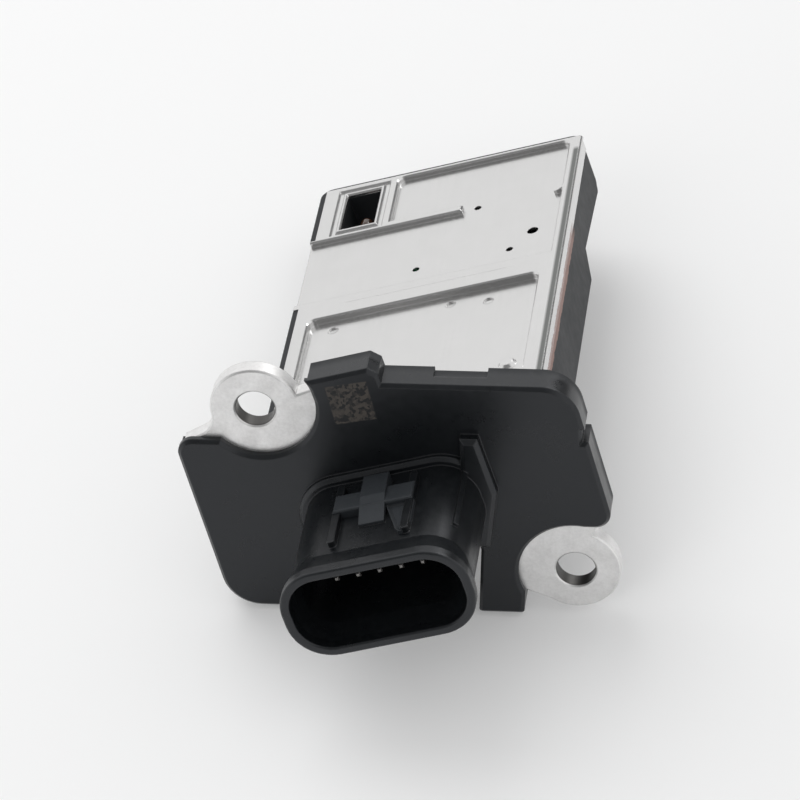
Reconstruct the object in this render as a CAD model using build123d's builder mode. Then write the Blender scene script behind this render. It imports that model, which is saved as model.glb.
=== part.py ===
# Plug-in mass airflow sensor: a moulded flange with a five-way connector on its front and a flat
# probe behind it, which is closed by a pressed metal plate above and a moulded cover below.
# X runs along the flange, Y along the probe towards its tip and Z up in the plane of the flange.
# The origin is midway between the two screw holes, on the metal face that the screw heads seat on.
# The distances along the probe given here count from the front face of the flange instead.
import os
from math import cos, radians, sin, tan

from build123d import *

# Screw ears of the stamped insert
ear_x = 17.8
ear_z = 10.4
ear_radius = 5.15
ear_hole = 4.5
ear_clearance = 1.35
ear_flare = 2.5
scallop_shift_x = 0.5
scallop_shift_z = 0.7
insert_thickness = 2.0
insert_depth = 1.0
insert_cover = 1.2
insert_window_width = 15.0
insert_window_height = 6.4
insert_edge = 0.2
relief_radius = 9.0
relief_bottom = 4.4

# Outline of the insert inside the moulding, from the centres of its ears or the flange's edges
insert_shoulder = 4.8
insert_shoulder_gap = 0.9
insert_top_start = 7.5
insert_right_drop = 3.0
insert_right_end = 7.4
insert_tail_x = 1.0
insert_tail_z = 5.0
insert_strap_outer = 3.0
insert_strap_inner = 2.6
insert_left_bottom = 5.0
insert_left_rise = 2.0
insert_left_corner = 5.0
insert_left_top = 10.0

# Where the flange's edges run into the scallops round the ears
scallop_top = 1.1
scallop_right = 0.1
scallop_foot_x = 0.7
scallop_foot_z = 2.6
scallop_left = 2.7

# Flange
flange_thickness = 4.0
flange_top = 14.8
flange_bottom = 16.2
flange_left = 25.8
flange_right = 21.5
flange_lean = 13.2
flange_corner = 4.5
flange_edge = 0.4
shoulder_drop = 3.9
shoulder_corner = 1.8
notch_left = 2.6
notch_right = 7.2
notch_top = 6.8
notch_corner = 0.8
foot_width = 4.6
foot_lean = 0.6
lug_left = 7.2
lug_width = 8.1
lug_top = 17.4
lug_depth = 3.9
lug_chamfer = 1.0
edge_notch_z = 8.4
edge_notch_length = 1.6
edge_notch_depth = 0.5
top_recess_left = 2.4
top_recess_width = 6.0
top_recess_depth = 0.5
top_recess_length = 2.0

# Probe, measured in its own frame: w across, y along, n out through the metal plate
probe_twist = 15.7
probe_left = 18.8
probe_right = 15.1
probe_tip = 66.4
probe_top = 4.2
probe_bottom = 5.6
throat_start = 47.6
throat_end = 49.9
throat_bottom = 2.5
tip_bottom = 3.4
tip_chamfer_y = 2.0
tip_chamfer_n = 2.2
tip_corner = 1.6
probe_edge = 0.7
nose_start = 51.5
nose_width = 0.9
nose_root = 1.0
nose_gap = 0.6
nose_top = 2.4
nose_bottom = -1.2
nose_round = 0.5
wall = 1.5
overrun = 1.0

# Pressed metal plate
sheet = 0.5
plate_top = 4.3
plate_start = 7.0
plate_end = 66.0
plate_left = 18.1
side_gap = 0.05
upper_depth = 0.7
lower_depth = 0.9
margin_right = 1.6
margin_tip = 0.5
boss_right = 8.6
boss_near = 54.2
rib_end = 0.8
rib_width = 1.2
upper_near = 40.1
lower_near = 8.8
lower_far = 35.9
lower_left = 16.4
lower_right = 12.4
press_corner = 1.0
lip_depth = 1.8
lip_end = 0.6
tab_near = 39.0
tab_far = 54.5
fold_radius = 0.4
window_left = 15.1
window_right = 10.8
window_near = 56.0
window_far = 64.0
collar_width = 0.6
moat_width = 0.5
moat_depth = 0.3
small_hole = 0.9
large_hole = 1.4
dent_width = 1.3
dent_depth = 0.2
press_edge = 0.2
pip_radius = 1.1
pip_height = 0.4
pip_taper = 40.0

# Cavities of the housing
root_length = 4.5
inlet_near = 43.0
inlet_length = 8.4
inlet_height = 4.0
divider = 1.8
return_far = 63.6
turn_left = 6.5
passage_wall = 1.2
lead_ceiling = 0.6
ceiling_right = 6.0
cover_thickness = 1.0
cover_seat = 0.6
cover_clearance = 0.1
outlet_width = 5.0
outlet_length = 7.0
outlet_gap = 1.0
outlet_corner = 0.6

# Connector shroud
socket_w = -2.6
socket_n = -1.2
shroud_length = 18.6
shroud_width = 20.6
shroud_height = 10.2
shroud_corner = 4.4
shroud_wall = 1.1
rim_width = 22.0
rim_height = 11.3
rim_length = 1.4
flare_length = 2.8
rim_edge = 0.3
socket_floor = 3.2
pad_margin = 0.9
pad_height = 0.9
pad_edge = 0.4
latch_width = 3.0
latch_height = 1.4
latch_start = 2.4
latch_length = 8.0
latch_ramp = 4.0
rail_width = 0.9
rail_height = 0.8
rail_pitch = 8.6
rail_length = 11.0
corner_rib_angle = 40.0
corner_rib_width = 0.6
corner_rib_height = 0.4
corner_rib_length = 11.5

# Low buttress on the flange, right of the shroud
guard_left = 5.4
guard_right = 7.4
guard_top = 8.5
guard_knee_x = 9.4
guard_knee_z = 1.3
guard_foot = 8.4
guard_bottom = 6.2
guard_height = 1.5
guard_chamfer = 0.5

# Terminals
terminal_count = 5
terminal_pitch = 2.54
terminal_offset = 0.6
terminal_size = 0.64
terminal_tip = 12.0
terminal_inner_n = 1.0
terminal_end = 10.2
jog_start = 0.9
jog_end = 2.9
shelf_margin = 1.2
shelf_length = 1.9

# Circuit board and what it carries
board_thickness = 1.0
board_left = 15.6
board_right = 11.6
board_gap = 0.2
board_far = 34.2
tongue_left = 4.6
tongue_right = 2.6
tongue_reach = 7.2
resistor_reach = 6.2
carrier_width = 4.4
carrier_length = 5.4
carrier_thickness = 0.4
element_width = 2.6
element_length = 3.6
element_thickness = 0.35
membrane_width = 1.1
membrane_depth = 0.3
ribbon_width = 0.8
ribbon_thickness = 0.2
ribbon_drop = 1.2
ribbon_foot = 1.1
ribbon_slope = 0.4
ribbon_rise_start = 0.6
ribbon_rise_end = 1.2

# Air temperature thermistor
bead_length = 2.2
bead_diameter = 1.6
lead_diameter = 0.4
lead_pitch = 0.9
lead_end = 33.0

# Seal round the root of the probe, in a groove in the back of the flange
seal_width = 1.3
seal_height = 2.0
seal_seat = 0.5
seal_clearance = 0.1
seal_edge = 0.4

# Holes and dents of the metal plate: w, y and, for a hole, its diameter
plate_holes = [
    (2.6, 55.0, small_hole),
    (7.8, 43.6, small_hole),
    (-4.0, 43.6, small_hole),
    (10.4, 46.8, large_hole),
]
plate_dents = [(1.4, 34.1), (-13.3, 33.9), (6.2, 33.1)]
pip_w = 10.1
pip_y = 18.2

# Packages on the circuit board: name, w, y, width, length, height
packages = [
    ("processor_chip", -3.4, 25.6, 6.0, 6.0, 1.5),
    ("regulator_chip", 6.6, 27.4, 3.9, 4.9, 1.4),
    ("memory_chip", 6.4, 19.4, 3.0, 4.4, 1.2),
    ("filter_capacitor_1", -11.6, 27.0, 1.6, 3.2, 1.5),
    ("filter_capacitor_2", -8.8, 27.0, 1.6, 3.2, 1.5),
    ("filter_capacitor_3", 0.6, 17.6, 1.25, 2.0, 1.2),
    ("filter_capacitor_4", -6.4, 17.6, 1.25, 2.0, 1.2),
    ("bridge_resistor_1", -1.9, inlet_near - resistor_reach, 0.9, 1.6, 0.5),
    ("bridge_resistor_2", 0.4, inlet_near - resistor_reach, 0.9, 1.6, 0.5),
]
chip_names = ("processor_chip", "regulator_chip", "memory_chip")
lead_step = 1.0
lead_width = 0.4
lead_reach = 0.9
lead_height = 0.3
body_rise = 0.1
cap_length = 0.35
cap_rise = 0.05

twist = radians(probe_twist)
across = Vector(cos(twist), 0, sin(twist))
outward = Vector(-sin(twist), 0, cos(twist))
along_outward = Axis((0, 0, 0), outward)
along_across = Axis((0, 0, 0), across)
front_face = Vector(0, -insert_depth, 0)


def front_view(y):
    # Local x and y are X and Z, and a positive extrusion comes forward.
    return Plane(origin=front_face + (0, y, 0), x_dir=(1, 0, 0), z_dir=(0, -1, 0))


def probe_front(y):
    # Local x and y are w and n, and a positive extrusion comes forward.
    return Plane(origin=front_face + (0, y, 0), x_dir=across, z_dir=(0, -1, 0))


def probe_plan(n):
    # Local x and y are w and y, and a positive extrusion goes outward through the metal plate.
    return Plane(origin=front_face + outward * n, x_dir=across, z_dir=outward)


def probe_side(w):
    # Local x and y are y and n, and a positive extrusion goes across to the right.
    return Plane(origin=front_face + across * w, x_dir=(0, 1, 0), z_dir=across)


def left_edge(z):
    return -flange_left - z * tan(radians(flange_lean))


def right_edge(z):
    return flange_right - z * tan(radians(flange_lean))


def block(left, right, near, far, corner=0.0):
    # A rectangle in the sketch in hand, given by its four sides.
    with Locations(((left + right) / 2, (near + far) / 2)):
        if corner > 0:
            RectangleRounded(right - left, far - near, corner)
        else:
            Rectangle(right - left, far - near)


ears = [(-ear_x, ear_z), (ear_x, -ear_z)]
scallop_radius = ear_radius + ear_clearance
insert_back = insert_depth + insert_thickness
probe_width = probe_left + probe_right
root_end = flange_thickness + root_length
plate_bottom = plate_top - sheet
upper_top = plate_top - upper_depth
lower_top = plate_top - lower_depth
board_top = lower_top - sheet
board_bottom = board_top - board_thickness
lead_n = board_bottom - lead_diameter / 2
shelf_bottom = terminal_inner_n + terminal_size / 2
shelf_end = root_end + shelf_length
board_near = shelf_end + board_gap
well_near = window_near - passage_wall
cavity_far = inlet_near - wall
inlet_far = inlet_near + inlet_length
return_near = inlet_far + divider
tongue_far = inlet_near + tongue_reach
well_right = passage_wall - window_right
window_width = window_left - window_right
window_length = window_far - window_near
window_w = -(window_left + window_right) / 2
window_y = (window_near + window_far) / 2
inner_left = wall - probe_left
inner_right = probe_right - wall
cover_near = root_end - cover_seat
cover_far = return_far + cover_seat
cover_left = inner_left - cover_seat
cover_right = inner_right + cover_seat
terminal_row_w = socket_w - terminal_offset
seal_middle = ((probe_right - probe_left) / 2, (probe_top - probe_bottom) / 2)
seal_inner = (probe_width + 2 * seal_clearance, probe_top + probe_bottom + 2 * seal_clearance)
seal_outer = (seal_inner[0] + 2 * seal_width, seal_inner[1] + 2 * seal_width)
insert_window = terminal_row_w * across + (socket_n + terminal_inner_n) / 2 * outward


def flange_outline():
    # Clockwise from the top left, seen from the front.
    shoulder = ear_z - shoulder_drop
    lower_ear = scallop_radius - scallop_right - ear_z
    points = [
        (-ear_x + scallop_radius - scallop_top, flange_top),
        (right_edge(flange_top), flange_top),
        (right_edge(lower_ear), lower_ear),
        (ear_x, lower_ear),
        (ear_x - scallop_radius + scallop_foot_x, -ear_z - scallop_foot_z),
        (notch_right + foot_width, -flange_bottom),
        (notch_right - foot_lean, -flange_bottom),
        (notch_right, -notch_top),
        (notch_left, -notch_top),
        (notch_left, -flange_bottom),
        (left_edge(-flange_bottom), -flange_bottom),
        (left_edge(shoulder), shoulder),
        (-ear_x - scallop_radius + scallop_left, shoulder),
    ]
    slight = notch_corner / 2
    radii = [
        0, flange_corner, shoulder_corner, 0, 0, slight, slight,
        notch_corner, notch_corner, notch_corner, flange_corner, shoulder_corner, 0,
    ]
    FilletPolyline(*points, radius=radii, close=True)


def insert_outline():
    # Clockwise from the left, seen from the front: inside the flange but for its two ears.
    inset = insert_cover
    shoulder = ear_z - insert_shoulder
    top = flange_top - inset
    right_top = flange_top - flange_corner
    right_end = insert_right_end - ear_z
    bottom = insert_left_bottom - flange_bottom
    left_top = insert_left_top - flange_bottom
    points = [
        (left_edge(shoulder) + insert_shoulder_gap, shoulder),
        (-ear_x, ear_z),
        (-ear_x + insert_top_start, top),
        (right_edge(flange_top) - flange_corner / 2 - inset, top),
        (right_edge(right_top) - inset, right_top - insert_right_drop),
        (right_edge(right_end) - inset, right_end),
        (ear_x, -ear_z),
        (ear_x - insert_tail_x, -ear_z - insert_tail_z),
        (notch_right + foot_width, -ear_z - insert_strap_outer),
        (notch_right + inset, -ear_z - insert_strap_inner),
        (notch_right + inset, inset - notch_top),
        (notch_left - inset, inset - notch_top),
        (notch_left - inset, bottom),
        (left_edge(bottom + insert_left_rise) + insert_left_corner, bottom),
        (left_edge(left_top) + inset, left_top),
    ]
    Polyline(*points, close=True)


def plate_outline(gap=0.0):
    # The plate seen square on, with the tab that folds over the left edge.
    block(-plate_left - gap, probe_right + gap, plate_start - gap, plate_end + gap)
    block(-probe_left - gap, -plate_left, tab_near - gap, tab_far + gap)


def upper_panel(grow=0.0, gap=0.0):
    # The L-shaped panel that is sunk beside the window boss, over the air passage.
    right = probe_right - margin_right + grow
    block(-boss_right - grow, right, boss_near - grow, plate_end - margin_tip + grow, press_corner)
    block(-plate_left - gap, right, upper_near - grow, boss_near + grow)
    block(-probe_left - gap, sheet - plate_left, upper_near - grow, boss_near + grow)


def lower_panel(grow=0.0):
    # The deeper panel that the circuit board is bonded to.
    block(-lower_left - grow, lower_right + grow, lower_near - grow, lower_far + grow, press_corner)


def plate_folds(gap=0.0):
    # The lip down the right side and the tab on the left one.
    block(probe_right - sheet, probe_right + gap, plate_start + lip_end - gap, plate_end - lip_end + gap)
    block(-probe_left - gap, sheet - probe_left, tab_near - gap, tab_far + gap)


def underside(rise, near, far):
    # The stepped lower face of the probe in y and n, raised into it.
    return [
        (near, rise - probe_bottom),
        (throat_start, rise - probe_bottom),
        (throat_end, rise - throat_bottom),
        (far, rise - tip_bottom),
    ]


def cover_blank(gap=0.0, below=0.0):
    # The lower cover without its outlet, or with a gap the rebate that it lies in.
    near = cover_near - gap
    far = cover_far + gap
    with BuildPart() as blank:
        with BuildSketch(probe_side(cover_left - gap)):
            with BuildLine():
                upper_face = underside(cover_thickness, near, far)
                Polyline(*underside(-below, near, far), *reversed(upper_face), close=True)
            make_face()
        extrude(amount=cover_right - cover_left + 2 * gap)
        with BuildSketch(probe_plan(-probe_bottom - below)):
            corner = cover_clearance - gap
            block(-probe_left - overrun, well_right + corner, well_near - corner, probe_tip)
        extrude(amount=probe_bottom + below, mode=Mode.SUBTRACT)
    return blank.part


def is_press_rim(edge):
    # An edge of the plate's top level that isn't on its outline or its folds.
    middle = edge.position_at(0.5) - front_face
    on_top = abs(middle.dot(outward) - plate_top) < 0.001
    beside = -plate_left + side_gap < middle.dot(across) < probe_right - 2 * sheet
    return on_top and beside and plate_start + side_gap < middle.Y < plate_end - side_gap


def terminal_w(index):
    return terminal_row_w + (index - (terminal_count - 1) / 2) * terminal_pitch


def shroud_section(width, height):
    with Locations((socket_w, socket_n)):
        RectangleRounded(width, height, shroud_corner + (height - shroud_height) / 2)


def shroud_blank(inset, back):
    # The outside of the shroud with its flared rim or, a wall's thickness in, the socket inside it.
    flare_start = rim_length + flare_length - shroud_length
    rim_start = rim_length - shroud_length
    body_size = (shroud_width - 2 * inset, shroud_height - 2 * inset)
    rim_size = (rim_width - 2 * inset, rim_height - 2 * inset)
    with BuildPart() as blank:
        with BuildSketch(probe_front(-back)):
            shroud_section(*body_size)
        extrude(amount=-flare_start - back)
        with BuildSketch(probe_front(flare_start)):
            shroud_section(*body_size)
        with BuildSketch(probe_front(rim_start)):
            shroud_section(*rim_size)
        loft(ruled=True)
        with BuildSketch(probe_front(rim_start)):
            shroud_section(*rim_size)
        extrude(amount=rim_length)
    return blank.part


# The stamped steel insert: two ears with their screw holes, and a window for the terminals.
with BuildPart() as mounting_plate:
    with BuildSketch(front_view(insert_back)) as insert_sketch:
        with BuildLine():
            insert_outline()
        make_face()
        with Locations(*ears):
            Circle(ear_radius)
        beside_ear = (-ear_x - ear_radius, ear_z - ear_radius / 2, 0)
        joint = insert_sketch.vertices().sort_by_distance(beside_ear)[0]
        fillet(joint, ear_flare)
        with Locations(*ears):
            Circle(ear_hole / 2, mode=Mode.SUBTRACT)
        with Locations((insert_window.X, insert_window.Z)):
            Rectangle(
                insert_window_width, insert_window_height, rotation=probe_twist, mode=Mode.SUBTRACT
            )
    extrude(amount=insert_thickness)
    chamfer(mounting_plate.faces().sort_by(Axis.Y)[0].edges(), insert_edge)

# Five pins that jog up through the flange, from the socket to the level of the circuit board.
terminals = []
for index in range(terminal_count):
    with BuildPart() as terminal:
        with BuildSketch(probe_side(terminal_w(index))):
            with BuildLine():
                Polyline(
                    (-terminal_tip, socket_n),
                    (jog_start, socket_n),
                    (jog_end, terminal_inner_n),
                    (terminal_end, terminal_inner_n),
                )
            trace(line_width=terminal_size)
        extrude(amount=terminal_size / 2, both=True)
        chamfer(terminal.faces().sort_by(Axis.Y)[0].edges(), terminal_size / 4)
    terminals.append(terminal.part)

# The pressed metal plate over the probe: a flat border, two sunk panels and a boss with a window.
with BuildPart() as base_plate:
    with BuildSketch(probe_plan(plate_bottom)):
        plate_outline()
    extrude(amount=sheet)
    with BuildSketch(probe_plan(upper_top - sheet)):
        upper_panel(grow=sheet)
    extrude(amount=upper_depth)
    with BuildSketch(probe_plan(lower_top - sheet)):
        lower_panel(grow=sheet)
    extrude(amount=lower_depth)
    with BuildSketch(probe_plan(plate_top - lip_depth)):
        plate_folds()
    extrude(amount=lip_depth)
    with BuildSketch(probe_plan(upper_top)):
        upper_panel(gap=overrun)
        with Locations(((rib_end - boss_right) / 2, boss_near + rib_width / 2)):
            Rectangle(boss_right + rib_end, rib_width, mode=Mode.SUBTRACT)
    extrude(amount=upper_depth, mode=Mode.SUBTRACT)
    with BuildSketch(probe_plan(lower_top)):
        lower_panel()
    extrude(amount=lower_depth, mode=Mode.SUBTRACT)
    with BuildSketch(probe_plan(plate_top - moat_depth)):
        with Locations((window_w, window_y)):
            moat = collar_width + moat_width
            Rectangle(window_width + 2 * moat, window_length + 2 * moat)
            collar = (window_width + 2 * collar_width, window_length + 2 * collar_width)
            Rectangle(*collar, mode=Mode.SUBTRACT)
    extrude(amount=moat_depth, mode=Mode.SUBTRACT)
    with BuildSketch(probe_plan(lower_top - sheet)):
        with Locations((window_w, window_y)):
            Rectangle(window_width, window_length)
        for hole_w, hole_y, diameter in plate_holes:
            with Locations((hole_w, hole_y)):
                Circle(diameter / 2)
    extrude(amount=lower_depth + sheet, mode=Mode.SUBTRACT)
    with BuildSketch(probe_plan(lower_top - dent_depth)):
        for dent_w, dent_y in plate_dents:
            with Locations((dent_w, dent_y)):
                Circle(dent_width / 2)
    extrude(amount=dent_depth, mode=Mode.SUBTRACT)
    lip_edge = base_plate.edges().filter_by(Axis.Y).sort_by(Axis((0, 0, 0), across + outward))[-1]
    fillet(lip_edge, fold_radius)
    chamfer(base_plate.edges().filter_by(is_press_rim), press_edge)
    with BuildSketch(probe_plan(lower_top)):
        with Locations((pip_w, pip_y)):
            Circle(pip_radius)
    extrude(amount=pip_height, taper=pip_taper)

# The moulded cover that closes the air passage and the circuit's chamber from below.
with BuildPart() as lower_cover:
    add(cover_blank())
    with BuildSketch(probe_plan(-probe_bottom)):
        left = well_right + passage_wall + outlet_gap
        far = return_far - outlet_gap
        block(left, left + outlet_width, far - outlet_length, far, outlet_corner)
    extrude(amount=probe_bottom, mode=Mode.SUBTRACT)

# The two leads of the thermistor run along a ceiling in the moulding to the circuit board.
leads = []
for side in (-1, 1):
    with BuildPart() as lead:
        with BuildSketch(probe_front(window_y)):
            with Locations((window_w + side * lead_pitch / 2, lead_n)):
                Circle(lead_diameter / 2)
        extrude(amount=window_y - lead_end)
    leads.append(lead.part)

# The glass bead that hangs in the window.
with BuildPart() as thermistor:
    with BuildSketch(probe_plan(lead_n)):
        with Locations((window_w, window_y)):
            SlotOverall(bead_length, bead_diameter, rotation=90)
        with Locations((window_w + bead_diameter / 2, window_y)):
            Rectangle(bead_diameter, 2 * bead_length, mode=Mode.SUBTRACT)
    revolve(axis=Axis(across * window_w + outward * lead_n, (0, 1, 0)))
    for lead in leads:
        add(lead, mode=Mode.SUBTRACT)

# The pad that the shroud stands on, and the buttress beside it.
with BuildPart() as pad:
    with BuildSketch(probe_front(0)):
        shroud_section(shroud_width + 2 * pad_margin, shroud_height + 2 * pad_margin)
    extrude(amount=pad_height)
    chamfer(pad.faces().sort_by(Axis.Y)[0].edges(), pad_edge)
with BuildPart() as guard:
    with BuildSketch(front_view(0)):
        with BuildLine():
            Polyline(
                (guard_left, guard_top),
                (guard_right, guard_top),
                (guard_knee_x, guard_knee_z),
                (guard_foot, -guard_bottom),
                (guard_left, -guard_bottom),
                close=True,
            )
        make_face()
    extrude(amount=guard_height)
    chamfer(guard.faces().sort_by(Axis.Y)[0].edges(), guard_chamfer)

# The solid blank of the probe, with its stepped underside, rounded below and at the tip.
with BuildPart() as probe:
    with BuildSketch(probe_side(-probe_left)):
        with BuildLine():
            start = insert_back
            Polyline(
                *underside(0, start, probe_tip - tip_chamfer_y),
                (probe_tip, tip_chamfer_n - tip_bottom),
                (probe_tip, probe_top),
                (start, probe_top),
                close=True,
            )
        make_face()
    extrude(amount=probe_width)
    tip_face = probe.faces().sort_by(Axis.Y)[-1]
    fillet(tip_face.edges().filter_by(along_outward), tip_corner)
    sides = probe.faces().sort_by(along_across)
    side_edges = sides[0].edges() + sides[-1].edges()
    lower_edges = side_edges.filter_by(lambda edge: edge.center().dot(outward) < -throat_bottom / 2)
    fillet(lower_edges, probe_edge)

# The rounded nose along the right side of the probe, near its tip.
with BuildPart() as nose:
    with BuildSketch(probe_front(nose_start)):
        with BuildLine():
            nose_back = probe_right - nose_root
            nose_ridge = (probe_right + nose_width, (nose_top + nose_bottom) / 2)
            Polyline(
                (probe_right, nose_top),
                (nose_back, nose_top),
                (nose_back, nose_bottom),
                (probe_right, nose_bottom),
            )
            ThreePointArc((probe_right, nose_bottom), nose_ridge, (probe_right, nose_top))
        make_face()
    extrude(amount=nose_start + nose_gap - probe_tip)
    nose_ends = nose.edges().filter_by(GeomType.CIRCLE)
    fillet(nose_ends, nose_round)

# The moulding: flange, connector shroud and the open frame of the probe in one piece.
corner_w = socket_w + shroud_width / 2 - shroud_corner
corner_n = socket_n + shroud_height / 2 - shroud_corner
corner_centre = front_face + corner_w * across + corner_n * outward
rib_angle = radians(corner_rib_angle)
rib_direction = cos(rib_angle) * across + sin(rib_angle) * outward
with BuildPart() as housing:
    with BuildSketch(front_view(flange_thickness)):
        with BuildLine():
            flange_outline()
        make_face()
        with Locations((-ear_x + scallop_shift_x, ear_z + scallop_shift_z), (ear_x, -ear_z)):
            Circle(scallop_radius, mode=Mode.SUBTRACT)
    extrude(amount=flange_thickness)
    with BuildSketch(front_view(flange_thickness)):
        with Locations((-ear_x, ear_z)):
            Circle(relief_radius)
        block(-2 * flange_left, -ear_x, relief_bottom, 2 * flange_top)
    extrude(amount=flange_thickness - insert_depth, mode=Mode.SUBTRACT)
    with BuildSketch(front_view(flange_thickness)):
        with Locations((right_edge(edge_notch_z), edge_notch_z)):
            Rectangle(2 * edge_notch_depth, edge_notch_length)
    extrude(amount=flange_thickness, mode=Mode.SUBTRACT)
    with BuildSketch(front_view(flange_thickness)):
        recess_right = top_recess_left + top_recess_width
        block(top_recess_left, recess_right, flange_top - top_recess_depth, flange_top)
    extrude(amount=top_recess_length, mode=Mode.SUBTRACT)
    with BuildSketch(probe_front(flange_thickness)):
        with BuildLine():
            lug_right = lug_width - lug_left
            Polyline(
                (-lug_left, lug_top - lug_depth),
                (-lug_left, lug_top),
                (lug_right - lug_chamfer, lug_top),
                (lug_right, lug_top - lug_chamfer),
                (lug_right, lug_top - lug_depth),
                close=True,
            )
        make_face()
    extrude(amount=flange_thickness)
    chamfer(housing.faces().sort_by(Axis.Y)[0].edges(), flange_edge)
    with BuildSketch(probe_front(flange_thickness)):
        with Locations(seal_middle):
            groove = (seal_outer[0] + 2 * seal_clearance, seal_outer[1] + 2 * seal_clearance)
            RectangleRounded(*groove, seal_width + seal_clearance)
    extrude(amount=seal_seat, mode=Mode.SUBTRACT)

    add(probe.part)
    add(nose.part)

    with BuildSketch(probe_plan(-probe_bottom)):
        block(inner_left, inner_right, root_end, cavity_far)
        block(-ceiling_right, inner_right, inlet_near, inlet_far)
        block(turn_left, inner_right, inlet_near, return_far)
        block(well_right + passage_wall, inner_right, return_near, return_far)
        block(-window_left, -window_right, window_near, window_far)
    extrude(amount=probe_bottom + plate_top, mode=Mode.SUBTRACT)
    with BuildSketch(probe_plan(-probe_bottom)):
        block(inner_left, -ceiling_right, inlet_near, inlet_far)
    extrude(amount=probe_bottom + lead_ceiling, mode=Mode.SUBTRACT)
    with BuildSketch(probe_side(-probe_left)):
        block(inlet_near, inlet_near + inlet_height, lead_ceiling - inlet_height, lead_ceiling)
    extrude(amount=wall, mode=Mode.SUBTRACT)
    with BuildSketch(probe_plan(shelf_bottom)):
        shelf_half = (terminal_count - 1) / 2 * terminal_pitch + shelf_margin
        block(terminal_row_w - shelf_half, terminal_row_w + shelf_half, root_end, shelf_end)
    extrude(amount=board_top - shelf_bottom)
    with BuildSketch(probe_plan(board_bottom - cover_clearance)):
        block(-tongue_left - cover_clearance, tongue_right + cover_clearance, cavity_far, inlet_near)
    extrude(amount=plate_top - board_bottom, mode=Mode.SUBTRACT)
    add(cover_blank(cover_clearance, overrun), mode=Mode.SUBTRACT)

    with BuildSketch(probe_plan(plate_bottom)):
        plate_outline(side_gap)
    extrude(amount=sheet, mode=Mode.SUBTRACT)
    with BuildSketch(probe_plan(upper_top - sheet)):
        upper_panel(sheet, side_gap)
    extrude(amount=upper_depth + sheet, mode=Mode.SUBTRACT)
    with BuildSketch(probe_plan(lower_top - sheet)):
        lower_panel(sheet)
    extrude(amount=lower_depth + sheet, mode=Mode.SUBTRACT)
    with BuildSketch(probe_plan(plate_top - lip_depth)):
        plate_folds(side_gap)
    extrude(amount=lip_depth, mode=Mode.SUBTRACT)

    add(pad.part)
    add(guard.part)
    add(shroud_blank(0, 0))
    with BuildSketch(probe_side(socket_w)):
        shroud_top = socket_n + shroud_height / 2
        with BuildLine():
            Polyline(
                (-latch_start, shroud_top - shroud_wall / 2),
                (-latch_start, shroud_top + latch_height),
                (latch_ramp - latch_start - latch_length, shroud_top + latch_height),
                (-latch_start - latch_length, shroud_top + latch_height / 4),
                (-latch_start - latch_length, shroud_top - shroud_wall / 2),
                close=True,
            )
        make_face()
    extrude(amount=latch_width / 2, both=True)
    with BuildSketch(probe_plan(shroud_top - shroud_wall / 2)):
        with Locations((socket_w, -latch_start - rail_length / 2)):
            with GridLocations(rail_pitch, 1, 2, 1):
                RectangleRounded(rail_width, rail_length, rail_width * 0.45)
    extrude(amount=rail_height + shroud_wall / 2)
    rib_frame = Plane(origin=corner_centre, x_dir=rib_direction, z_dir=(0, -1, 0))
    with BuildSketch(rib_frame):
        block(0, shroud_corner + corner_rib_height, -corner_rib_width / 2, corner_rib_width / 2)
    extrude(amount=corner_rib_length)
    add(shroud_blank(shroud_wall, socket_floor), mode=Mode.SUBTRACT)
    fillet(housing.faces().sort_by(Axis.Y)[0].edges(), rim_edge)
    add(mounting_plate.part, mode=Mode.SUBTRACT)
    for piece in terminals + leads:
        add(piece, mode=Mode.SUBTRACT)

# The rubber seal that stands in its groove in the back of the flange, round the root of the probe.
with BuildPart() as flange_seal:
    with BuildSketch(probe_front(flange_thickness - seal_seat + seal_height)):
        with Locations(seal_middle):
            RectangleRounded(*seal_outer, seal_width)
            Rectangle(*seal_inner, mode=Mode.SUBTRACT)
    extrude(amount=seal_height)
    back_face = flange_seal.faces().sort_by(Axis.Y)[-1]
    chamfer(back_face.edges(), seal_edge)

# The circuit board, bonded under the lower panel, with a tongue into the air passage.
with BuildPart() as circuit_board:
    with BuildSketch(probe_plan(board_bottom)):
        block(-board_left, board_right, board_near, board_far)
        block(-tongue_left, tongue_right, board_far - overrun, tongue_far)
    extrude(amount=board_thickness)

# The ceramic carrier and the hot-film chip with its thin membrane, face down in the air passage.
tongue_w = (tongue_right - tongue_left) / 2
carrier_y = (inlet_near + tongue_far) / 2
with BuildPart() as element_carrier:
    with BuildSketch(probe_plan(board_bottom - carrier_thickness)):
        with Locations((tongue_w, carrier_y)):
            Rectangle(carrier_width, carrier_length)
    extrude(amount=carrier_thickness)
with BuildPart() as sensing_element:
    with BuildSketch(probe_plan(board_bottom - carrier_thickness - element_thickness)):
        with Locations((tongue_w, carrier_y)):
            Rectangle(element_width, element_length)
    extrude(amount=element_thickness)
    with BuildSketch(probe_plan(board_bottom - carrier_thickness - membrane_depth)):
        with Locations((tongue_w, carrier_y)):
            Rectangle(membrane_width, membrane_width)
    extrude(amount=membrane_depth, mode=Mode.SUBTRACT)

# Welded ribbons join the ends of the terminals to the underside of the board.
ribbons = []
terminal_under = terminal_inner_n - terminal_size / 2
for index in range(terminal_count):
    with BuildPart() as ribbon:
        with BuildSketch(probe_side(terminal_w(index))):
            foot_n = terminal_under - ribbon_thickness / 2
            pad_n = board_bottom - ribbon_thickness / 2
            loop_n = foot_n - ribbon_drop
            with BuildLine():
                Polyline(
                    (terminal_end - ribbon_foot, foot_n),
                    (terminal_end, foot_n),
                    (terminal_end + ribbon_slope, loop_n),
                    (board_near + ribbon_rise_start, loop_n),
                    (board_near + ribbon_rise_end, pad_n),
                    (board_near + ribbon_rise_end + ribbon_foot, pad_n),
                )
            trace(line_width=ribbon_thickness)
        extrude(amount=ribbon_width / 2, both=True)
    ribbons.append(ribbon.part)

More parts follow.
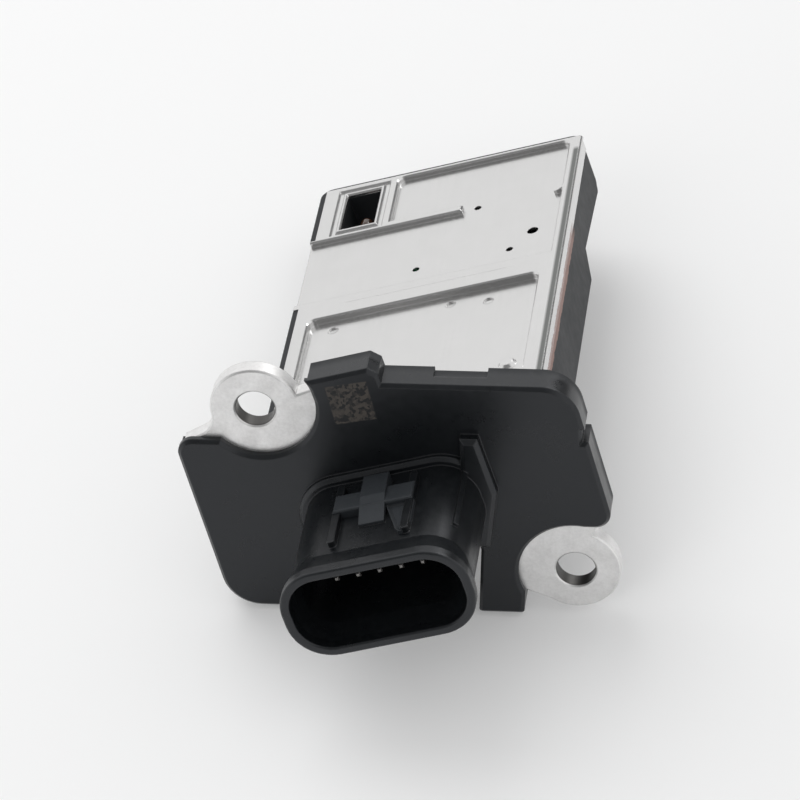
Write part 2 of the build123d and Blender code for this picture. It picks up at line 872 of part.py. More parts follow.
# Chips with rows of leads, and small end-capped packages, under the board.
carried = {}
for name, package_w, package_y, width, length, height in packages:
    with BuildPart() as package:
        if name in chip_names:
            with BuildSketch(probe_plan(board_bottom - height)):
                with Locations((package_w, package_y)):
                    Rectangle(width, length)
            extrude(amount=height - body_rise)
            rows = int((length - lead_step / 2) / lead_step)
            with BuildSketch(probe_plan(board_bottom - lead_height)):
                with Locations((package_w, package_y)):
                    with GridLocations(1, lead_step, 1, rows):
                        Rectangle(width + 2 * lead_reach, lead_width)
            extrude(amount=lead_height)
        else:
            with BuildSketch(probe_plan(board_bottom - height + cap_rise)):
                with Locations((package_w, package_y)):
                    Rectangle(width - 2 * cap_rise, length - 2 * cap_rise)
            extrude(amount=height - 2 * cap_rise)
            with BuildSketch(probe_plan(board_bottom - height)):
                with Locations((package_w, package_y)):
                    with GridLocations(1, length - cap_length, 1, 2):
                        Rectangle(width, cap_length)
            extrude(amount=height)
    carried[name] = package.part

pieces = {
    "housing": housing.part,
    "mounting_plate": mounting_plate.part,
    "base_plate": base_plate.part,
    "lower_cover": lower_cover.part,
    "flange_seal": flange_seal.part,
    "circuit_board": circuit_board.part,
    "element_carrier": element_carrier.part,
    "sensing_element": sensing_element.part,
    "thermistor": thermistor.part,
    **carried,
}
for index in range(terminal_count):
    pieces[f"terminal_{index + 1}"] = terminals[index]
    pieces[f"bond_ribbon_{index + 1}"] = ribbons[index]
for index, lead in enumerate(leads):
    pieces[f"thermistor_lead_{index + 1}"] = lead

os.makedirs("parts", exist_ok=True)
for name, piece in pieces.items():
    piece.label = name
    export_step(piece, f"parts/{name}.step")
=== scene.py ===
from math import cos, radians, sin

import bmesh
import bpy
from mathutils import Matrix, Vector


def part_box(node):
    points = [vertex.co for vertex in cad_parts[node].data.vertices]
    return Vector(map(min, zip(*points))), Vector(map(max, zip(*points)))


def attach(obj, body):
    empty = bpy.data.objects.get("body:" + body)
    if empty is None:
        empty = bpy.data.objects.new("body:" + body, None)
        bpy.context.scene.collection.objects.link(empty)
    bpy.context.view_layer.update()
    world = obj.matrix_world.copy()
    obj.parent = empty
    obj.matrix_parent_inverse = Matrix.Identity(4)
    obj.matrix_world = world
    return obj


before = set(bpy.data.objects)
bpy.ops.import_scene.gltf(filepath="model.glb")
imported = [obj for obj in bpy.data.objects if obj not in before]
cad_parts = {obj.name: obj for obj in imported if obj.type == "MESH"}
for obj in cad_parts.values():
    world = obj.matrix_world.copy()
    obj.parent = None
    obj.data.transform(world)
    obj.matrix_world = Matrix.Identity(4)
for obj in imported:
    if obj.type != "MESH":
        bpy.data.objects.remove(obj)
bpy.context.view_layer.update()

mm = 0.001
probeTwist = radians(15.7)      # the probe and the connector are turned about Y against the flange
across = Vector((cos(probeTwist), 0, sin(probeTwist)))
outward = Vector((-sin(probeTwist), 0, cos(probeTwist)))
print("frame loaded:", len(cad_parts), "nodes")


# Helpers for node trees

def feed(tree, inputs, values):
    # a value is a number or colour to set, or the socket that feeds the input
    for name, value in values.items():
        if isinstance(value, bpy.types.NodeSocket):
            tree.links.new(value, inputs[name])
        else:
            inputs[name].default_value = value


def addNode(tree, kind, values=None, **settings):
    node = tree.nodes.new(kind)
    for name, value in settings.items():
        setattr(node, name, value)
    feed(tree, node.inputs, values or {})
    return node


def useGroup(tree, group, **values):
    return addNode(tree, "ShaderNodeGroup", values, node_tree=group).outputs


def calc(tree, operation, first, second=0.0, third=0.0):
    values = {0: first, 1: second, 2: third}
    return addNode(tree, "ShaderNodeMath", values, operation=operation).outputs[0]


def times(tree, first, second):
    return calc(tree, "MULTIPLY", first, second)


def vectorCalc(tree, operation, first, second):
    return addNode(tree, "ShaderNodeVectorMath", {0: first, 1: second}, operation=operation).outputs


def split(tree, vector):
    return addNode(tree, "ShaderNodeSeparateXYZ", {0: vector}).outputs


def turnPlace(tree, vector, angle=probeTwist, axis="Y_AXIS"):
    values = {"Vector": vector, "Angle": angle}
    return addNode(tree, "ShaderNodeVectorRotate", values, rotation_type=axis).outputs[0]


def blendColour(tree, factor, first, second):
    # on a colour Mix node the factor is socket 0 and the colours are sockets 6 and 7
    return addNode(tree, "ShaderNodeMix", {0: factor, 6: first, 7: second}, data_type="RGBA").outputs[2]


def remap(tree, value, low, high, toLow=0.0, toHigh=1.0, kind="LINEAR"):
    values = {0: value, 1: low, 2: high, 3: toLow, 4: toHigh}
    return addNode(tree, "ShaderNodeMapRange", values, interpolation_type=kind).outputs[0]


def grey(level, warmth=0.0):
    return (level * (1 + warmth), level, level * (1 - warmth), 1)


def noise(tree, vector, scale, detail=4.0, roughness=0.55):
    values = {"Vector": vector, "Scale": scale, "Detail": detail, "Roughness": roughness}
    return addNode(tree, "ShaderNodeTexNoise", values).outputs["Fac"]


def cellTone(tree, vector, scale, channel):
    # one random value for each small cell
    cells = addNode(tree, "ShaderNodeTexVoronoi", {"Vector": vector, "Scale": scale})
    return addNode(tree, "ShaderNodeSeparateColor", {0: cells.outputs["Color"]}).outputs[channel]


def newGroup(name, inputs, outputs):
    # inputs and outputs list each socket's name, kind and default
    tree = bpy.data.node_groups.new(name, "ShaderNodeTree")
    for direction, sockets in (("INPUT", inputs), ("OUTPUT", outputs)):
        for socketName, kind, default in sockets:
            kind = "NodeSocket" + kind
            socket = tree.interface.new_socket(socketName, in_out=direction, socket_type=kind)
            if default is not None:
                socket.default_value = default
    return tree, tree.nodes.new("NodeGroupInput").outputs, tree.nodes.new("NodeGroupOutput").inputs


# Shared effects

edgeFinder = {"samples": 6, "flat": 0.995, "sharp": 0.86}      # the normals' likeness off and on an edge


def makeSoftEdge():
    # rounds the shading of sharp edges, and finds them for the edge tone: a painted highlight on the black
    # plastic, a darker edge on the plated steel
    part = edgeFinder
    tree, given, wanted = newGroup(
        "softEdge",
        [("Radius", "Float", 0.2 * mm)],
        [("Normal", "Vector", None), ("Edge", "Float", None)],
    )
    values = {"Radius": given["Radius"]}
    rounded = addNode(tree, "ShaderNodeBevel", values, samples=part["samples"]).outputs[0]
    flat = addNode(tree, "ShaderNodeNewGeometry").outputs["Normal"]
    alike = vectorCalc(tree, "DOT_PRODUCT", rounded, flat)["Value"]
    edge = remap(tree, alike, part["flat"], part["sharp"], kind="SMOOTHSTEP")
    feed(tree, wanted, {"Normal": rounded, "Edge": edge})
    return tree


cloudNoise = {
    "broad": {"detail": 3.0}, "fine": {"detail": 5.0, "roughness": 0.65},
    "finer": 6.0, "share": 0.5, "middle": 0.5,
}


def makeCloud():
    # two sizes of noise on each other, for uneven tone
    part = cloudNoise
    tree, given, wanted = newGroup(
        "cloud",
        [("Vector", "Vector", None), ("Scale", "Float", 100.0), ("Contrast", "Float", 1.5)],
        [("Tone", "Float", None)],
    )
    broad = noise(tree, given["Vector"], given["Scale"], **part["broad"])
    fine = noise(tree, given["Vector"], times(tree, given["Scale"], part["finer"]), **part["fine"])
    both = calc(tree, "MULTIPLY_ADD", fine, part["share"], times(tree, broad, 1 - part["share"]))
    centred = times(tree, calc(tree, "SUBTRACT", both, part["middle"]), given["Contrast"])
    tone = addNode(tree, "ShaderNodeClamp", {0: calc(tree, "ADD", centred, part["middle"])}).outputs[0]
    feed(tree, wanted, {"Tone": tone})
    return tree


moulding = {"finer": 1.7, "detail": 2.0, "pits": 0.6, "grit": 0.4}


def makeSparkGrain():
    # the fine even grain that a spark-eroded mould leaves on plastic
    part = moulding
    tree, given, wanted = newGroup(
        "sparkGrain",
        [("Vector", "Vector", None), ("Scale", "Float", 2600.0)],
        [("Height", "Float", None)],
    )
    values = {"Vector": given["Vector"], "Scale": given["Scale"]}
    pits = addNode(tree, "ShaderNodeTexVoronoi", values, feature="SMOOTH_F1").outputs["Distance"]
    grit = noise(tree, given["Vector"], times(tree, given["Scale"], part["finer"]), part["detail"])
    height = calc(tree, "MULTIPLY_ADD", pits, part["pits"], times(tree, grit, part["grit"]))
    feed(tree, wanted, {"Height": height})
    return tree


rolling = {         # the smaller drawn is, the longer are the lines or scratches
    "drawn": 0.03, "lines": {"detail": 3.0, "roughness": 0.7},
    "scratchDrawn": 0.02, "scratches": {"scale": 420.0, "detail": 1.0, "roughness": 0.4},
    "slant": 0.9, "shows": (0.70, 0.76),
}


def makeRolled():
    # lines that rolling leaves in sheet metal, drawn out along one way, with a few scratches
    part = rolling
    tree, given, wanted = newGroup(
        "rolled",
        [("Vector", "Vector", None), ("Turn", "Float", 0.0), ("Fineness", "Float", 3000.0)],
        [("Lines", "Float", None), ("Scratch", "Float", None)],
    )
    turned = turnPlace(tree, given["Vector"], given["Turn"])
    drawn = vectorCalc(tree, "MULTIPLY", turned, (1.0, part["drawn"], 1.0))["Vector"]
    lines = noise(tree, drawn, given["Fineness"], **part["lines"])
    slanted = turnPlace(tree, turned, part["slant"], "Z_AXIS")
    slantedDrawn = vectorCalc(tree, "MULTIPLY", slanted, (1.0, part["scratchDrawn"], 1.0))["Vector"]
    marks = noise(tree, slantedDrawn, **part["scratches"])
    feed(tree, wanted, {"Lines": lines, "Scratch": remap(tree, marks, *part["shows"])})
    return tree


settling = {
    "noise": {"scale": 1400.0, "detail": 3.0, "roughness": 0.7}, "specks": (0.48, 0.75), "upward": (0.2, 0.9),
}


def makeDust():
    # thin dust where a surface looks up
    part = settling
    tree, given, wanted = newGroup(
        "dust",
        [("Vector", "Vector", None), ("Amount", "Float", 0.1)],
        [("Mask", "Float", None)],
    )
    up = split(tree, addNode(tree, "ShaderNodeNewGeometry").outputs["Normal"])["Z"]
    specks = remap(tree, noise(tree, given["Vector"], **part["noise"]), *part["specks"])
    settled = times(tree, remap(tree, up, *part["upward"]), specks)
    feed(tree, wanted, {"Mask": times(tree, settled, given["Amount"])})
    return tree


softEdge = makeSoftEdge()
cloud = makeCloud()
sparkGrain = makeSparkGrain()
rolled = makeRolled()
dust = makeDust()
print("shared effects built")


# Materials

toneSpan = (0.2, 0.8)       # the tones between which roughness goes from one end to the other


def cloudTone(tree, place, scale, contrast):
    return useGroup(tree, cloud, Vector=place, Scale=scale, Contrast=contrast)["Tone"]


def startMaterial(name):
    material = bpy.data.materials.new(name)
    material.use_nodes = True
    tree = material.node_tree
    tree.nodes.clear()
    shader = tree.nodes.new("ShaderNodeBsdfPrincipled")
    addNode(tree, "ShaderNodeOutputMaterial", {"Surface": shader.outputs[0]})
    place = addNode(tree, "ShaderNodeTexCoord").outputs["Object"]
    return material, tree, shader.inputs, place


def roughen(tree, height, strength, depth, edgeRadius=None, edge=None):
    # a bump over the softened edges, where there are any
    values = {"Height": height, "Strength": strength, "Distance": depth}
    if edgeRadius is not None:
        edge = useGroup(tree, softEdge, Radius=edgeRadius)
    if edge is not None:
        values["Normal"] = edge["Normal"]
    return addNode(tree, "ShaderNodeBump", values).outputs[0]


def inBand(tree, value, low, high, soft):
    # 1 between low and high, fading out over the soft width inside them
    rise = remap(tree, value, low, low + soft)
    fall = remap(tree, value, high, high - soft)
    return times(tree, rise, fall)


rag = {"scale": 420.0, "detail": 5.0, "roughness": 0.7}      # the noise that makes a mark's limits ragged


def probeBox(tree, place, part, outSoft=0.12 * mm):
    # a box across, along and out from the turned probe and connector, with ragged or plain limits
    probe = split(tree, turnPlace(tree, place))
    ragged = times(tree, calc(tree, "SUBTRACT", noise(tree, place, **rag), 0.5), part["ragged"])
    mask = inBand(tree, calc(tree, "ADD", probe["Z"], ragged), *part["out"], outSoft)
    mask = times(tree, mask, inBand(tree, probe["Y"], *part["along"], part["fade"]))
    return times(tree, mask, inBand(tree, probe["X"], *part["across"], part["soft"]))


coverSeam = {       # cured adhesive in the joint between the probe and its lower cover
    "left": -17.9 * mm, "right": 14.2 * mm, "half": 0.24 * mm, "out": (-6.2 * mm, -2.1 * mm),
    "fade": 0.08 * mm, "soft": 0.02 * mm, "ragged": 0.0,
    "gapScale": 260.0, "gaps": (0.30, 0.48),
    "tone": 0.045, "roughness": 0.16,
}


def seamMask(tree, place):
    # a thin frame round the lower cover, broken here and there
    part = coverSeam
    low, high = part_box("lower_cover")
    wide, long = (part["left"], part["right"]), (low.y, high.y)
    runs = [((side, side), long) for side in wide] + [(wide, (end, end)) for end in long]
    mask = 0.0
    for limits in runs:
        acrossRun, alongRun = ((first - part["half"], last + part["half"]) for first, last in limits)
        run = dict(part, across=acrossRun, along=alongRun)
        mask = calc(tree, "MAXIMUM", probeBox(tree, place, run), mask)
    broken = remap(tree, noise(tree, place, part["gapScale"]), *part["gaps"])
    return times(tree, mask, broken)


etchedPatch = {
    "middle": (-6.75 * mm, 12.25 * mm), "turn": radians(11.5), "half": (2.45 * mm, 2.6 * mm),
    "front": -0.93 * mm, "soft": 0.15 * mm, "cellScale": 2900.0, "noiseScale": 900.0, "share": 0.6,
    "marks": (0.42, 0.72), "tone": 0.050, "warmth": 0.16, "roughness": 0.60,
}


def patchMask(tree, place):
    # a small etched square on the flange's front: plain mottling, with no code in it
    part = etchedPatch
    flat = split(tree, place)
    x = calc(tree, "SUBTRACT", flat["X"], part["middle"][0])
    z = calc(tree, "SUBTRACT", flat["Z"], part["middle"][1])
    sideways = calc(tree, "MULTIPLY_ADD", x, cos(part["turn"]), times(tree, z, sin(part["turn"])))
    up = calc(tree, "MULTIPLY_ADD", z, cos(part["turn"]), times(tree, x, -sin(part["turn"])))
    mask = calc(tree, "LESS_THAN", flat["Y"], part["front"])
    for distance, half in zip((sideways, up), part["half"]):
        away = calc(tree, "ABSOLUTE", distance)
        mask = times(tree, mask, remap(tree, away, half, half - part["soft"]))
    speck = times(tree, cellTone(tree, place, part["cellScale"], 0), part["share"])
    mottling = noise(tree, place, part["noiseScale"])
    mottling = calc(tree, "MULTIPLY_ADD", mottling, part["share"], speck)
    return mask, remap(tree, mottling, *part["marks"])


glueLine = {        # cured adhesive that has crept out along the plate's right lip
    "across": (14.95 * mm, 16.0 * mm), "along": (2.5 * mm, 47.0 * mm), "out": (1.75 * mm, 3.15 * mm),
    "fade": 3.0 * mm, "soft": 0.02 * mm, "ragged": 0.9 * mm, "tone": (0.34, 0.21, 0.18, 1),
}
latchMattAndSheen = {       # the latch is rougher than the shroud round it, and its paler tone is a painted sheen
    "across": (-4.2 * mm, -1.0 * mm), "along": (-11.5 * mm, -3.3 * mm), "out": (3.95 * mm, 6.0 * mm),
    "fade": 0.02 * mm, "soft": 0.02 * mm, "ragged": 0.0, "tone": 0.019,
}
blackPlastic = {
    "darkest": 0.0045, "lightest": 0.0085, "blueness": -0.16, "glossTint": (0.93, 0.95, 1.0, 1),
    "cloud": (160.0, 1.6), "smoothest": 0.24, "roughest": 0.38,
    "probeSmoothest": 0.50, "probeRoughest": 0.66, "probeFrom": 1.5 * mm,    # the probe is coarser
    # edgeTone is a painted highlight: sharp edges paler, as if they caught the light
    "edgeRadius": 0.22 * mm, "edgeToneShare": 0.35, "edgeTone": 0.03,
    "dust": 0.025, "dustTone": 0.22,
    "grainScale": 5600.0, "grainStrength": 0.35, "grainDepth": 0.004 * mm,
}


def blackMoulding(name, withMarks=False, withSeam=False, coarseFrom=blackPlastic["probeFrom"], lift=0.0):
    part = blackPlastic
    material, tree, sockets, place = startMaterial(name)
    edge = useGroup(tree, softEdge, Radius=part["edgeRadius"])
    tone = cloudTone(tree, place, *part["cloud"])
    grain = useGroup(tree, sparkGrain, Vector=place, Scale=part["grainScale"])["Height"]
    specks = useGroup(tree, dust, Vector=place, Amount=part["dust"])["Mask"]
    # the lift pales both tones; on the latch bridge it is a painted sheen
    dark, light = (grey(part[end] + lift, part["blueness"]) for end in ("darkest", "lightest"))
    colour = blendColour(tree, tone, dark, light)
    # painted highlight along the sharp edges
    colour = blendColour(tree, times(tree, edge["Edge"], part["edgeToneShare"]), colour, grey(part["edgeTone"]))
    colour = blendColour(tree, specks, colour, grey(part["dustTone"]))
    fine = remap(tree, tone, *toneSpan, part["smoothest"], part["roughest"])
    coarse = remap(tree, tone, *toneSpan, part["probeSmoothest"], part["probeRoughest"])
    matt = remap(tree, split(tree, place)["Y"], coarseFrom, coarseFrom + mm)
    if withMarks:
        # the latch is rougher, and its paler tone is a painted sheen
        latch = probeBox(tree, place, latchMattAndSheen)
        matt = calc(tree, "MAXIMUM", matt, latch)
        colour = blendColour(tree, latch, colour, grey(latchMattAndSheen["tone"], part["blueness"]))
    roughness = remap(tree, matt, 0.0, 1.0, fine, coarse)
    if withMarks:
        mask, marks = patchMask(tree, place)
        etched = grey(etchedPatch["tone"], etchedPatch["warmth"])
        patchTone = blendColour(tree, marks, grey(part["lightest"]), etched)
        colour = blendColour(tree, mask, colour, patchTone)
        roughness = remap(tree, mask, 0.0, 1.0, roughness, etchedPatch["roughness"])
        colour = blendColour(tree, probeBox(tree, place, glueLine), colour, glueLine["tone"])
    if withSeam:
        seam = seamMask(tree, place)
        colour = blendColour(tree, seam, colour, grey(coverSeam["tone"]))
        roughness = remap(tree, seam, 0.0, 1.0, roughness, coverSeam["roughness"])
    normal = roughen(tree, grain, part["grainStrength"], part["grainDepth"], edge=edge)
    feed(tree, sockets, {
        "Base Color": colour, "Specular Tint": part["glossTint"], "Roughness": roughness, "Normal": normal,
    })
    return material


foldShadeBand = {        # painted shade: a dull dark band beside the fold of the plate's right lip, for the shade of the groove there
    "across": (14.1 * mm, 15.05 * mm), "along": (2.0 * mm, 62.6 * mm), "out": (3.9 * mm, 4.8 * mm),
    "fade": 0.8 * mm, "soft": 0.3 * mm, "ragged": 0.0, "tone": (0.17, 0.175, 0.17, 1),
}
crease = {          # a faint line scribed across the plate
    "left": -14.2 * mm, "right": 8.5 * mm, "y": 37.3 * mm, "half": 0.11 * mm, "fade": 2.0 * mm,
    "height": -25.0,
}
plateSheet = {
    "dark": grey(0.65, 0.006), "light": grey(0.71, 0.004), "cloud": (60.0, 1.4),
    "fineness": 2600.0, "lines": 0.10, "lineTone": 0.5525, "scratches": 0.06, "scratchTone": 0.80,
    "lineSpan": (0.3, 0.7), "smoothest": 0.20, "roughest": 0.27,
    "edgeRadius": 0.14 * mm, "lineHeight": 0.2, "strength": 0.5, "depth": 0.002 * mm,
}


def creaseMask(tree, place):
    flat = split(tree, place)
    away = calc(tree, "ABSOLUTE", calc(tree, "SUBTRACT", flat["Y"], crease["y"]))
    line = remap(tree, away, crease["half"], 0.0, kind="SMOOTHSTEP")
    return times(tree, line, inBand(tree, flat["X"], crease["left"], crease["right"], crease["fade"]))


def pressedSheet():
    part = plateSheet
    material, tree, sockets, place = startMaterial("pressedSheet")
    grain = useGroup(tree, rolled, Vector=place, Turn=probeTwist, Fineness=part["fineness"])
    tone = cloudTone(tree, place, *part["cloud"])
    colour = blendColour(tree, tone, part["dark"], part["light"])
    colour = blendColour(tree, times(tree, grain["Lines"], part["lines"]), colour, grey(part["lineTone"]))
    scratched = times(tree, grain["Scratch"], part["scratches"])
    colour = blendColour(tree, scratched, colour, grey(part["scratchTone"]))
    # painted shade: a dark band beside the fold of the right lip
    colour = blendColour(tree, probeBox(tree, place, foldShadeBand), colour, foldShadeBand["tone"])
    glue = probeBox(tree, place, glueLine)
    lines = times(tree, grain["Lines"], part["lineHeight"])
    height = calc(tree, "MULTIPLY_ADD", creaseMask(tree, place), crease["height"], lines)
    feed(tree, sockets, {
        "Base Color": blendColour(tree, glue, colour, glueLine["tone"]),
        "Metallic": calc(tree, "SUBTRACT", 1.0, glue),
        "Roughness": remap(tree, grain["Lines"], *part["lineSpan"], part["smoothest"], part["roughest"]),
        "Normal": roughen(tree, height, part["strength"], part["depth"], part["edgeRadius"]),
    })
    return material


screwHole = {       # one on each side, point-symmetric about the middle of the flange
    "x": 17.8 * mm, "z": 10.4 * mm, "radius": 2.25 * mm, "fade": (0.06 * mm, 0.02 * mm),
    "tone": grey(0.10, 0.03),
}
earSteel = {
    "dark": grey(0.68, 0.01), "light": grey(0.88, 0.005), "cloud": (420.0, 2.2),
    "smoothest": 0.36, "roughest": 0.52,
    "flakeScale": 1500.0, "flakes": 0.22, "flakeTone": 0.92,
    "edgeRadius": 0.18 * mm, "edgeToneShare": 0.5, "edgeTone": 0.42, "strength": 0.3, "depth": 0.012 * mm,
}


def boreMask(tree, place):
    flat = split(tree, place)
    mirrored = calc(tree, "SIGN", flat["X"])       # the left hole is above the middle, the right one below
    besideX = calc(tree, "SUBTRACT", calc(tree, "ABSOLUTE", flat["X"]), screwHole["x"])
    besideZ = calc(tree, "ADD", times(tree, flat["Z"], mirrored), screwHole["z"])
    squares = calc(tree, "MULTIPLY_ADD", besideX, besideX, times(tree, besideZ, besideZ))
    limits = (screwHole["radius"] + beyond for beyond in screwHole["fade"])
    return remap(tree, calc(tree, "SQRT", squares), *limits)


def platedSteel():
    part = earSteel
    material, tree, sockets, place = startMaterial("platedSteel")
    edge = useGroup(tree, softEdge, Radius=part["edgeRadius"])
    tone = cloudTone(tree, place, *part["cloud"])
    flake = times(tree, cellTone(tree, place, part["flakeScale"], 1), part["flakes"])
    colour = blendColour(tree, tone, part["dark"], part["light"])
    colour = blendColour(tree, flake, colour, grey(part["flakeTone"]))
    # the steel's edges are made darker
    colour = blendColour(tree, times(tree, edge["Edge"], part["edgeToneShare"]), colour, grey(part["edgeTone"]))
    feed(tree, sockets, {
        "Base Color": blendColour(tree, boreMask(tree, place), colour, screwHole["tone"]),
        "Metallic": 1.0,
        "Roughness": remap(tree, tone, *toneSpan, part["roughest"], part["smoothest"]),
        "Normal": roughen(tree, tone, part["strength"], part["depth"], edge=edge),
    })
    return material


# The plainer finishes: the cloud (its scale and contrast) blends two colours and runs between two
# roughnesses. A bump has a strength, a depth and the radius of the soft edges under it.

finishes = {
    "sealRubber": {
        "dark": grey(0.010, 0.03), "light": grey(0.020, 0.03), "cloud": (300.0, 1.5),
        "roughness": (0.55, 0.75), "bump": (0.3, 0.02 * mm, 0.3 * mm), "dust": 0.25, "dustTone": 0.25,
    },
    "solderMask": {
        "dark": (0.006, 0.050, 0.022, 1), "light": (0.010, 0.085, 0.036, 1), "cloud": (200.0, 1.2),
        "roughness": (0.25, 0.38),
        "weave": (0.02, 0.14, 0.06, 1), "weaveShare": 0.35, "weaveScale": 620.0,
        "weaveBump": (0.15, 0.01 * mm),
    },
    "firedCeramic": {
        "dark": grey(0.66, 0.03), "light": grey(0.80, 0.02), "cloud": (500.0, 1.2),
        "roughness": (0.45, 0.65), "bump": (0.2, 0.01 * mm, 0.08 * mm),
    },
    "polishedChip": {       # thin films on silicon shift from blue to bronze
        "dark": (0.02, 0.03, 0.08, 1), "light": (0.09, 0.06, 0.05, 1), "cloud": (350.0, 2.0),
        "roughness": (0.08, 0.16), "plain": {"Metallic": 0.6},
    },
    "beadGlass": {
        "dark": (0.020, 0.010, 0.006, 1), "light": (0.075, 0.032, 0.016, 1), "cloud": (700.0, 1.8),
        "roughness": (0.06, 0.14), "plain": {"Coat Weight": 0.6},
    },
    "tinnedContact": {
        "dark": grey(0.24, 0.03), "light": grey(0.36, 0.04), "cloud": (900.0, 1.6),
        "roughness": (0.28, 0.42), "bump": (0.2, 0.005 * mm, 0.06 * mm), "plain": {"Metallic": 1.0},
    },
    "bondFoil": {
        "dark": grey(0.72, 0.005), "light": grey(0.86, 0.005), "cloud": (900.0, 1.6),
        "roughness": (0.18, 0.32), "bump": (0.2, 0.005 * mm, 0.06 * mm), "plain": {"Metallic": 1.0},
    },
}


def weaveHeight(tree, place, scale):
    # glass weave shows faintly through the green lacquer of the board
    values = {"Vector": turnPlace(tree, place), "Scale": scale}
    warp, weft = (addNode(tree, "ShaderNodeTexWave", values, bands_direction=way) for way in ("X", "Y"))
    return times(tree, warp.outputs["Fac"], weft.outputs["Fac"])


def plainFinish(name):
    part = finishes[name]
    material, tree, sockets, place = startMaterial(name)
    tone = cloudTone(tree, place, *part["cloud"])
    colour = blendColour(tree, tone, part["dark"], part["light"])
    if "dust" in part:
        specks = useGroup(tree, dust, Vector=place, Amount=part["dust"])["Mask"]
        colour = blendColour(tree, specks, colour, grey(part["dustTone"]))
    if "weave" in part:
        weave = weaveHeight(tree, place, part["weaveScale"])
        colour = blendColour(tree, times(tree, weave, part["weaveShare"]), colour, part["weave"])
        feed(tree, sockets, {"Normal": roughen(tree, weave, *part["weaveBump"])})
    if "bump" in part:
        feed(tree, sockets, {"Normal": roughen(tree, tone, *part["bump"])})
    feed(tree, sockets, {"Base Color": colour, "Roughness": remap(tree, tone, 0.0, 1.0, *part["roughness"])})
    feed(tree, sockets, part.get("plain", {}))
    return material


packages = {        # bodies of chips and small parts, with tin beyond half the body's length
    "chip": {
        "body": (grey(0.012), grey(0.022)), "axis": "X",
        "halfBody": {"processor_chip": 3.05, "regulator_chip": 2.0, "memory_chip": 1.55},
    },
    "capacitor": {
        "body": ((0.22, 0.13, 0.06, 1), (0.34, 0.21, 0.11, 1)), "axis": "Y",
        "halfBody": {
            "filter_capacitor_1": 1.25, "filter_capacitor_2": 1.25,
            "filter_capacitor_3": 0.65, "filter_capacitor_4": 0.65,
        },
    },
    "resistor": {
        "body": (grey(0.015), grey(0.03)), "axis": "Y",
        "halfBody": {"bridge_resistor_1": 0.45, "bridge_resistor_2": 0.45},
    },
}
packageLook = {
    "tin": grey(0.62, 0.02), "cloud": (800.0, 1.5), "roughness": (0.35, 0.6),
    "bump": (0.2, 0.01 * mm, 0.08 * mm),
}


def packageMaterial(nodeName, package, halfBody):
    low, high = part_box(nodeName)
    material, tree, sockets, place = startMaterial(nodeName + "Finish")
    centred = vectorCalc(tree, "SUBTRACT", place, (low + high) / 2)["Vector"]
    reach = calc(tree, "ABSOLUTE", split(tree, turnPlace(tree, centred))[package["axis"]])
    tin = calc(tree, "GREATER_THAN", reach, halfBody)
    tone = cloudTone(tree, place, *packageLook["cloud"])
    body = blendColour(tree, tone, *package["body"])
    feed(tree, sockets, {
        "Base Color": blendColour(tree, tin, body, packageLook["tin"]),
        "Metallic": tin,
        "Roughness": remap(tree, tone, 0.0, 1.0, *packageLook["roughness"]),
        "Normal": roughen(tree, tone, *packageLook["bump"]),
    })
    return material


def dress(nodeName, material):
    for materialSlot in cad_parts[nodeName].material_slots:
        materialSlot.material = material


def dressAll():
    dress("housing", blackMoulding("blackMoulding", withMarks=True, withSeam=True))
    dress("lower_cover", blackMoulding("coverMoulding", withSeam=True))
    dress("base_plate", pressedSheet())
    dress("mounting_plate", platedSteel())
    dress("flange_seal", plainFinish("sealRubber"))
    dress("circuit_board", plainFinish("solderMask"))
    dress("element_carrier", plainFinish("firedCeramic"))
    dress("sensing_element", plainFinish("polishedChip"))
    dress("thermistor", plainFinish("beadGlass"))
    tin = plainFinish("tinnedContact")
    foil = plainFinish("bondFoil")
    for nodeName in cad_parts:
        if nodeName.startswith("terminal_"):
            dress(nodeName, tin)
        elif nodeName.startswith(("bond_ribbon_", "thermistor_lead_")):
            dress(nodeName, foil)
    for package in packages.values():
        for nodeName, halfBody in package["halfBody"].items():
            dress(nodeName, packageMaterial(nodeName, package, halfBody * mm))


dressAll()
print("finishes set")


# The bar that ties the connector's two guide rails across the latch, and the rounded end of the right rail.
# Places are (across, along) on the top of the connector, heights outward, in mm.

latchBridge = {
    "bar": {
        "outline": ((-7.3, -5.7), (-7.3, -8.9), (2.1, -8.9), (2.1, -5.7)),
        "low": 3.6, "high": 5.0, "edge": 0.22,
    },
    "railEnd": {
        "outline": (
            (-1.2, -8.6), (0.1, -12.4), (0.5, -13.7), (0.9, -14.3), (1.4, -14.45), (1.9, -14.0),
            (2.2, -12.8), (2.2, -8.6),
        ),
        "low": 3.6, "high": 4.5, "edge": 0.14, "rim": 0.45, "sunk": 0.35,
    },
}
bridgeLook = {"coarseFrom": -1.0, "lift": 0.012}      # coarse all over, and a little paler than the rest: a painted sheen


def onConnector(w, y, n):
    return (across * w + Vector((0, y, 0)) + outward * n) * mm


def placePiece(name, shape, material):
    mesh = bpy.data.meshes.new(name)
    shape.to_mesh(mesh)
    shape.free()
    piece = bpy.data.objects.new(name, mesh)
    bpy.context.scene.collection.objects.link(piece)
    piece.data.materials.append(material)
    return piece


